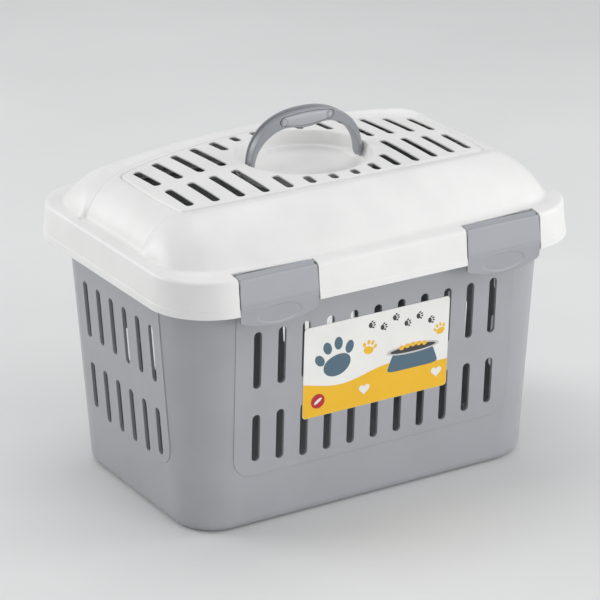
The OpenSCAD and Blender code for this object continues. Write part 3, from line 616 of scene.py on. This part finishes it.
def grip_pad_grid():
    """Columns across the pad as (u, v, out): u along it, v between the recess's two edges, and out =
    6.15 + 0.9 (1 - share^2) fade - 0.25 |share|^12, a barrel that fades near the studs. Each end column is a
    point on the recess's floor."""
    u = np.linspace(-STUD_X, STUD_X, 71)[:, None]
    top = bowed(PAD_TOP, u) - PAD_GAP
    low = PAD_LOW[0] + PAD_LOW[1] * u ** 2 + PAD_GAP
    share = np.array([-1, -1, -0.97, -0.9, -0.75, -0.5, -0.25, 0, 0.25, 0.5, 0.75, 0.9, 0.97, 1, 1])
    fade = np.clip((22 - np.abs(u)) / 5, 0, 1) ** 0.5
    out = 6.15 + 0.9 * (1 - share ** 2) * fade - 0.25 * np.abs(share) ** 12
    out[:, [0, -1]] = PAD_FLOOR
    out[[0, -1]] = PAD_FLOOR
    v = (top + low) / 2 + (top - low) / 2 * share
    v[[0, -1]] = v[[0, -1], len(share) // 2][:, None]
    return np.broadcast_to(u, v.shape), v, out


# profiles (r, distance along the axis): a pivot pin with its collar, and a stud's cap
PIN = [[0, 56], [0, 67.2], [2.7, 67.2], [2.9, 67.0], [2.9, 61], [4.7, 61], [4.9, 60.8], [4.9, 56]]
STUD = [[0, 7.07], [1.2, 7.05], [2.1, 6.95], [2.35, 6.75], [2.45, 6.3], [2.85, 6.3], [2.95, 6.8], [3.2, 6.9],
        [3.5, 6.7], [3.6, 5.3], [0, 5.3]]


def make_pad(side, word):
    """Grip pad on the front (1) or back (-1) face."""
    u, v, out = grip_pad_grid()
    points = on_face(side, u, v, out).reshape(-1, 3)
    pad = weld(mesh_object(f"{word}_pad_barrel", points, grid_faces(*u.shape, wrap_v=True)))
    finish_piece(pad, "bail", pad_grey, nodes=[f"{word}_grip_pad"])


def make_stud(side, word, k, end):
    """Stud cap at the left (-1) or right (1) end of a face's pad."""
    p = lathe(STUD, 40)
    p = on_face(side, side * k * STUD_X + p[..., 0], STUD_H + p[..., 1], p[..., 2])
    quads = grid_faces(40, len(STUD), True, True)[:, ::-1]
    stud = weld(mesh_object(f"{word}_stud_cap_{end}", p.reshape(-1, 3), quads))
    finish_piece(stud, "bail", pad_grey, nodes=[f"{word}_stud_{end}"])


arch = handle_grid()
arch = weld(mesh_object("handle_arch", arch.reshape(-1, 3), grid_faces(*arch.shape[:2], wrap_v=True)))
finish_piece(arch, "bail", handle_grey, nodes=["handle"])
pins = weld(mesh_object("handle_pins", *axis_pair(PIN, -1)))
finish_piece(pins, "bail", handle_grey)
for side, word in ((1, "front"), (-1, "back")):
    make_pad(side, word)
    for k, end in ((-1, "left"), (1, "right")):
        make_stud(side, word, k, end)


# ------------------------------------------------------------------ latches

# body, x of its middle, and 1 at the front or -1 at the back
LATCHES = {"front_latch_left": ("latch_fl", -LATCH_X, 1), "front_latch_right": ("latch_fr", LATCH_X, 1),
           "rear_latch_left": ("latch_rl", -LATCH_X, -1), "rear_latch_right": ("latch_rr", LATCH_X, -1)}
LATCH_HALF, PLATE_TOP = 38.5, 249.6
HEAD = [[139.7, 251.6], [140.8, 252.4], [141.7, 252.6], [142.8, 252.3], [143.8, 251.6], [145.6, 250.8],
        [146.9, 250.35], [147.5, 250.7], [148.5, 250.6], [148.85, 249.9]]  # (out, z) over the hinge
FOLD_OUT, FOLD_Z, FOLD_SOFT = 151.9, 226, 0.4
TIP_Z, TIP_R = 203.4, 101.3
THUMB_Z, THUMB_A, THUMB_B, THUMB_DEEP = 214.6, 22, 8.6, 0.6
HOOK_AT, HOOK_SIZE = [0, -147.0, 219.6], (65, 5.2, 2)


def corner_round(x, r):
    """How far a corner of radius r has dropped at x across a latch: r - sqrt(r^2 - d^2)."""
    d = np.clip(np.abs(x) - (LATCH_HALF - r), 0, r)
    return r - np.sqrt(r * r - d * d)


def plate_out(z):
    """Distance of the plate's face from the lid's middle plane at height z: the soft minimum of two leaning
    planes that meet in the fold at z = 226, with a fine line 0.2 mm deep just below it."""
    upper = FOLD_OUT - 0.125 * (z - FOLD_Z)
    lower = FOLD_OUT + 0.126 * (z - FOLD_Z)
    fold = -FOLD_SOFT * np.log(np.exp(-upper / FOLD_SOFT) + np.exp(-lower / FOLD_SOFT))
    return fold - 0.2 * np.exp(-((z - 225.6) / 0.45) ** 2)


def thumb_depth(x, z):
    """The shallow oval thumb rest, 44 by 17.2 mm round (0, 214.6): 0.6 / (1 + exp(-(inside - 0.35) / 0.16)),
    where inside is about the distance in mm from the oval's outline."""
    u, v = x / THUMB_A, (z - THUMB_Z) / THUMB_B
    rho = np.hypot(u, v) + 1e-9
    slope = np.hypot(x / THUMB_A ** 2, (z - THUMB_Z) / THUMB_B ** 2).clip(1e-3)
    inside = rho * (1 - rho) / slope
    return THUMB_DEEP / (1 + np.exp(-(inside - 0.35) / 0.16))


def latch_grid():
    """A latch's face in its own frame, columns across and rows from the hinge down: (x, -out, z). Its lower
    edge is z = 203.4 + 101.3 - sqrt(101.3^2 - x^2), with corners of 2.5 mm, and its upper corners are
    rounded to 3 mm, which fades out down to z = 236."""
    x = LATCH_HALF * np.sin(np.linspace(-np.pi / 2, np.pi / 2, 171))[:, None]
    head = resample(HEAD, 0.5)
    fall = corner_round(x, 3)
    head_out = np.broadcast_to(head[:, 0], (len(x), len(head)))
    head_z = head[:, 1] - fall
    tip = TIP_Z + TIP_R - np.sqrt(TIP_R ** 2 - x * x) + corner_round(x, 2.5)
    z = PLATE_TOP + (tip - PLATE_TOP) * np.linspace(0, 1, 92)[None]
    out = plate_out(z) - thumb_depth(x, z)
    z = z - fall * np.clip((z - 236) / 13.6, 0, 1) ** 2
    out, z = np.hstack([head_out, out]), np.hstack([head_z, z])
    return np.stack([np.broadcast_to(x, z.shape), -out, z], -1)


def barrel_profile():
    """Profile (r, x) of the rolled hinge barrel: radius 2.6 up to |x| = 35.2, then 2.6 - 0.8 s^2 down to the
    pins' 1.8 at |x| = 37. The pins end at |x| = 41.8 with a bevel of 0.5."""
    s = np.linspace(0, 1, 9)
    shoulder = np.column_stack([2.6 - 0.8 * s ** 2, 35.2 + 1.8 * s])
    right_pin, left_pin = [[0, 41.8], [1.3, 41.8], [1.8, 41.3]], [[1.8, -41.3], [1.3, -41.8], [0, -41.8]]
    return np.concatenate([right_pin, shoulder[::-1], shoulder * [1, -1], left_pin])


def latch_piece(name, part, points, faces, wall=0.0, edge=0.0):
    """One part of a latch, moved to its place at the front or, turned half round, at the back."""
    body, shift, side = LATCHES[name]
    points = points * [side, side, 1] + [shift, 0, 0]
    obj = mesh_object(name + part, points, faces)
    return finish_piece(obj, body, latch_grey, wall, edge, [name])


plate = latch_grid()
plate_faces = grid_faces(*plate.shape[:2])[:, ::-1]
barrel = lathe(barrel_profile(), 40, "x") + [0, -LATCH_Y, LATCH_Z]
barrel_faces = grid_faces(*barrel.shape[:2], wrap_u=True)[:, ::-1]
for name in LATCHES:
    latch_piece(name, "_plate", plate.reshape(-1, 3), plate_faces, wall=2.2, edge=0.4)
    weld(latch_piece(name, "_barrel", barrel.reshape(-1, 3), barrel_faces))
    latch_piece(name, "_hook", *boxes([HOOK_AT], HOOK_SIZE), edge=0.4)


# ------------------------------------------------------------------ print on the label card

CARD_Y, CARD_Z, LEAN = -122.48, 137.94, math.atan(0.0629)  # the middle of the card's face and its lean
CARD_HALF_U, CARD_HALF_V, CARD_CORNER = 75.3, 43.8, 3.3    # the print's edge, 0.2 mm inside the card's
BOWL_U, BOWL_V = 38, -9
TOES = (0.25, 0.52, 8), (0.68, 0.16, 24)  # a toe's place beside and above a paw's middle, and its lean
COLOURS = {"yellow": (0.88, 0.50, 0.02), "slate": (0.085, 0.15, 0.20), "pale": (0.60, 0.585, 0.58),
           "dark": (0.05, 0.05, 0.052), "red": (0.50, 0.016, 0.03), "white": (0.84, 0.83, 0.81)}
INKS = {key: plastic("print_" + key, colour, rough=0.34, spread=0.02, grain=0.4, bump=0.05, soft_edge=0.05)
        for key, colour in COLOURS.items()}
T = np.linspace(0, 2 * np.pi, 72, endpoint=False)
COS, SIN = np.cos(T), np.sin(T)


def oval(x, y, a, b, turn=0.0, square=1.0):
    """Outline |x / a|^(2 / square) + |y / b|^(2 / square) = 1 round (x, y), turned by turn degrees."""
    u, v = a * np.sign(COS) * np.abs(COS) ** square, b * np.sign(SIN) * np.abs(SIN) ** square
    c, k = math.cos(math.radians(turn)), math.sin(math.radians(turn))
    return np.column_stack([x + c * u - k * v, y + k * u + c * v])


def paw(x, y, size, turn):
    """Five outlines: a pad (0.6 cos t (1 - 0.2 sin t), 0.44 sin t + 0.06 cos 2t - 0.3) and four toes."""
    shapes = [np.column_stack([0.6 * COS * (1 - 0.2 * SIN), 0.44 * SIN + 0.06 * np.cos(2 * T) - 0.3])]
    for k in (-1, 1):
        shapes += [oval(k * d, h, 0.18, 0.27, -k * lean) for d, h, lean in TOES]
    c, s = math.cos(math.radians(turn)), math.sin(math.radians(turn))
    return [size * np.stack([p[:, 0] * c - p[:, 1] * s, p[:, 0] * s + p[:, 1] * c], 1) + [x, y]
            for p in shapes]


def heart(x, y, size):
    """Outline (sin^3 t, (13 cos t - 5 cos 2t - 2 cos 3t - cos 4t) / 16), turned to run anticlockwise."""
    v = (13 * COS - 5 * np.cos(2 * T) - 2 * np.cos(3 * T) - np.cos(4 * T)) / 16
    return np.column_stack([x - size * SIN ** 3, y + size * v])


def wave_band():
    """Outline of the band along the card's lower edge: its top is v = -13 + 4.5 sin(u / 17 + 0.6), its lower
    corners are rounded like the card's."""
    u = np.linspace(-CARD_HALF_U, CARD_HALF_U, 97)
    past = np.clip(np.abs(u) - (CARD_HALF_U - CARD_CORNER), 0, CARD_CORNER)
    low = -CARD_HALF_V + CARD_CORNER - np.sqrt(CARD_CORNER ** 2 - past ** 2)
    top = -13 + 4.5 * np.sin(u / 17 + 0.6)
    return np.column_stack([np.r_[u, u[::-1]], np.r_[low, top[::-1]]])


def printed(name, ink, outlines, height=0.1):
    """Closed plates on the card's face, raised by height, from k outlines of n points about its middle:
    (u, CARD_Y - v sin LEAN - h cos LEAN, CARD_Z + v cos LEAN - h sin LEAN)."""
    flat = np.stack(outlines)
    k, n = flat.shape[:2]
    h = np.array([0.0, height])[None, :, None]
    u, v = np.broadcast_to(flat[:, None, :, 0], (k, 2, n)), flat[:, None, :, 1]
    points = np.stack([u, CARD_Y - math.sin(LEAN) * v - math.cos(LEAN) * h,
                       CARD_Z + math.cos(LEAN) * v - math.sin(LEAN) * h], -1).reshape(-1, 3)
    ring = np.arange(k)[:, None] * 2 * n + np.arange(n)
    ahead = np.roll(ring, -1, axis=1)
    sides = np.stack([ring, ahead, ahead + n, ring + n], -1).reshape(-1, 4)
    caps = np.concatenate([ring[:, ::-1], ring + n])
    obj = mesh_object(name, points, caps.tolist() + sides.tolist(), smooth=False)
    return finish_piece(obj, "tub", INKS[ink])


bowl = oval(BOWL_U, BOWL_V, 24, 9.5, square=0.3)
bowl[:, 0] += (bowl[:, 0] - BOWL_U) * -0.016 * (bowl[:, 1] - BOWL_V)  # narrower towards its top
trail = [paw(-6 + 12.5 * i, 30 + 3.2 * (-1) ** i + 2.2 * math.sin(i), 4.4, -78) for i in range(6)]
kibble = [oval(26 + 6 * i, 2.5 + 2.2 * math.sin(0.52 * (i + 1)), 2.7, 2.1) for i in range(5)]
printed("card_wave", "yellow", [wave_band()])
printed("card_big_paw", "slate", paw(-43, 10, 23, 14))
printed("card_small_paws", "yellow", paw(-8, 12, 8.5, -16) + paw(66, 14, 7, 20))
printed("card_trail", "dark", [outline for step in trail for outline in step])
printed("card_bowl", "slate", [bowl], 0.2)
printed("card_bowl_rim", "pale", [oval(BOWL_U, BOWL_V + 10, 27.5, 4.6)], 0.3)
printed("card_bowl_food", "dark", [oval(BOWL_U, BOWL_V + 10, 24, 3.0)], 0.35)
printed("card_kibble", "yellow", kibble, 0.4)
printed("card_ball", "red", [oval(-60, -29, 7, 7)], 0.2)
ring_and_hearts = [oval(-60, -29, 4.6, 1.5, 35), heart(-12, -28, 5.5), heart(64, -28, 5.5)]
printed("card_ball_ring", "white", ring_and_hearts, 0.25)


# ------------------------------------------------------------------ stage

FLOOR_HALF, BEND_Y = 9, 3


def make_floor():
    """One sheet in metres: z = 0 under the part and up to y = 3, then 0.25 (y - 3)^2 behind it."""
    along, across = np.linspace(-FLOOR_HALF, FLOOR_HALF, 19), np.linspace(-FLOOR_HALF, FLOOR_HALF, 37)
    x, y = np.meshgrid(along, across, indexing="ij")
    z = np.where(y > BEND_Y, (y - BEND_Y) ** 2 * 0.25, 0.0)
    return mesh_object("floor", np.stack([x, y, z], -1).reshape(-1, 3) / MM, grid_faces(*x.shape))


def softbox(name, az, el, dist, size, power, aim=(0, 0, 0.2)):
    """Rectangular lamp, dist from aim and facing it, at azimuth az (0 is the front, 90 the right end) and
    elevation el."""
    az, el = math.radians(az), math.radians(el)
    z = np.array([math.sin(az) * math.cos(el), -math.cos(az) * math.cos(el), math.sin(el)])
    x = np.cross([0, 0, 1], z)
    x /= np.linalg.norm(x)
    data = bpy.data.lights.new(name, "AREA")
    data.shape = "RECTANGLE"
    data.size, data.size_y = size
    data.energy = power
    obj = bpy.data.objects.new(name, data)
    bpy.context.scene.collection.objects.link(obj)
    turn = Matrix([list(r) for r in np.column_stack([x, np.cross(z, x), z])]).to_4x4()
    obj.matrix_world = Matrix.Translation(np.array(aim) + dist * z) @ turn


floor = make_floor()
paper = Nodes("floor_paper")
shades = [(0.3, (0.74, 0.74, 0.735)), (0.7, (0.78, 0.78, 0.775))]
paper.link(paper.ramp(paper.noise(400, 3), shades), "Base Color")
paper.link(paper.span(paper.noise(30, 3), 0.75, 0.9), "Roughness")
floor.data.materials.append(paper.mat)

world = bpy.data.worlds.new("studio")
bpy.context.scene.world = world
world.use_nodes = True
world.node_tree.nodes["Background"].inputs["Color"].default_value = (0.96, 0.98, 1.0, 1)
world.node_tree.nodes["Background"].inputs["Strength"].default_value = 0.53
softbox("key", az=20, el=9, dist=2.8, size=(1.8, 0.9), power=25)
softbox("right", az=66, el=24, dist=2.0, size=(0.9, 0.9), power=8.5)
softbox("left", az=-132, el=20, dist=2.8, size=(1.6, 1.2), power=30)
softbox("top", az=176, el=78, dist=2.2, size=(1.6, 1.2), power=13)
